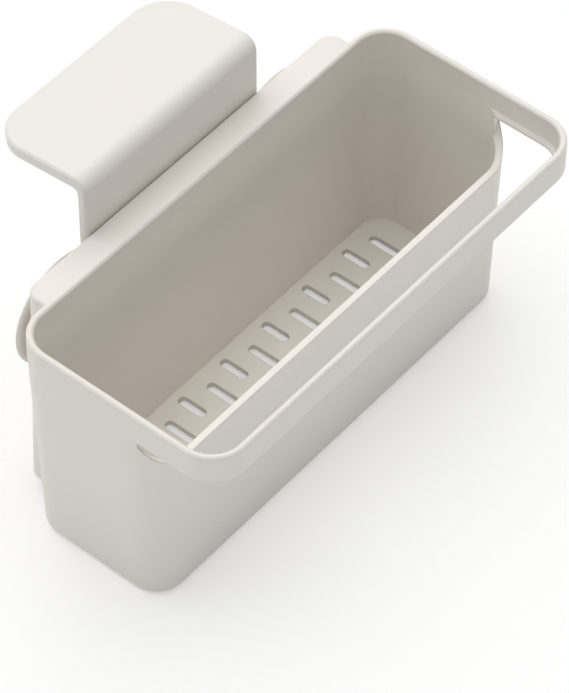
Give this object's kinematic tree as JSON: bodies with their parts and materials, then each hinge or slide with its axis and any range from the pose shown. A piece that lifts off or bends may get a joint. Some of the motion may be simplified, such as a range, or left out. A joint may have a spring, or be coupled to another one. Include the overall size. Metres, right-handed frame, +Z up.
{
  "type": "kitchen sink caddy",
  "caption": "Long open caddy with a slotted floor and a front rail for a cloth, hung over a sink's edge by a wide hook and steadied by suction cups behind its skirt.",
  "frame": {"origin": "centre of the tub's standing edge, on the plane that the tub stands on", "axes": "+X along the tub's length to the right, +Y back towards the sink's wall, +Z up"},
  "size_m": [0.222, 0.1646, 0.1402],
  "materials": {
    "tub_plastic": "warm light grey plastic with a fine matt surface",
    "hook_plastic": "warm light grey plastic with a fine matt surface",
    "cup_rubber": "soft, slightly see-through grey rubber with a satin surface"
  },
  "bodies": {
    "tub": {"tub": "tub_plastic"},
    "hook": {"over_edge_hook": "hook_plastic"},
    "cup_left": {"suction_cup_left": "cup_rubber"},
    "cup_right": {"suction_cup_right": "cup_rubber"}
  },
  "joints": [
    {"name": "hook_lift", "type": "slide", "parent": "tub", "child": "hook", "axis": [0, 0, 1], "range_m": [0, 0.052]},
    {"name": "cup_left_slide", "type": "slide", "parent": "tub", "child": "cup_left", "axis": [0, 0, -1], "range_m": [0, 0.01]},
    {"name": "cup_right_slide", "type": "slide", "parent": "tub", "child": "cup_right", "axis": [0, 0, -1], "range_m": [0, 0.01]}
  ]
}
